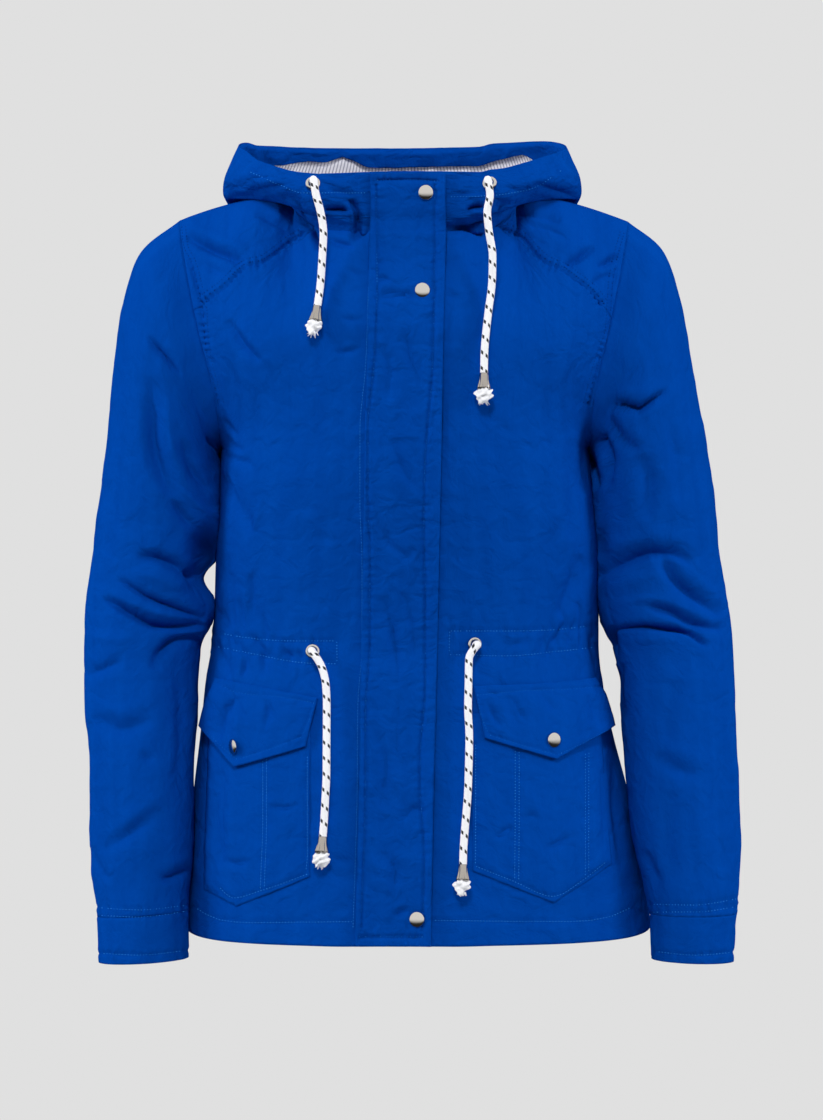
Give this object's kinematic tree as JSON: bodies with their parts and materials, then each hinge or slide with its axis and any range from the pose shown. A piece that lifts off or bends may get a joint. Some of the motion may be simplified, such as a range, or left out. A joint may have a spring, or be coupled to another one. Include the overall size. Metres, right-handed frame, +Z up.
{
  "type": "parka",
  "caption": "Short hooded parka worn open-bodied with no wearer, hood down, storm flap closed, patch pockets with snap flaps and drawcords at hood and waist.",
  "frame": {"origin": "midway between the two shoulder seams, at their height, where the garment rests on a wearer", "axes": "+Z up from hem to hood, -Y out of the front, +X towards the wearer's left"},
  "size_m": [0.5712, 0.3156, 0.7223],
  "materials": {
    "shell": "smooth woven polyester, satin sheen",
    "lining": "pale shirting with thin grey stripes",
    "braid": "white braid with dark flecks",
    "nickel": "polished nickel plate"
  },
  "bodies": {
    "root": {"front_right": "shell", "front_left": "shell", "yoke_right": "shell", "yoke_left": "shell", "sleeve_right": "shell", "sleeve_left": "shell", "cuff_right": "shell", "cuff_left": "shell", "hood_right": "shell", "hood_left": "shell", "pocket_right": "shell", "pocket_left": "shell", "pocket_flap_right": "shell", "pocket_flap_left": "shell", "back": "shell", "storm_flap": "shell", "hood_facing": "shell", "hood_lining": "lining", "cord_hood_right": "braid", "cord_hood_left": "braid", "cord_waist_right": "braid", "cord_waist_left": "braid", "knot_hood_right": "braid", "knot_hood_left": "braid", "knot_waist_right": "braid", "knot_waist_left": "braid", "snap_top": "nickel", "snap_chest": "nickel", "snap_hem": "nickel", "snap_pocket_right": "nickel", "snap_pocket_left": "nickel", "eyelet_hood_right": "nickel", "eyelet_hood_left": "nickel", "eyelet_waist_right": "nickel", "eyelet_waist_left": "nickel", "bell_hood_right": "nickel", "bell_hood_left": "nickel", "bell_waist_right": "nickel", "bell_waist_left": "nickel"}
  },
  "joints": []
}
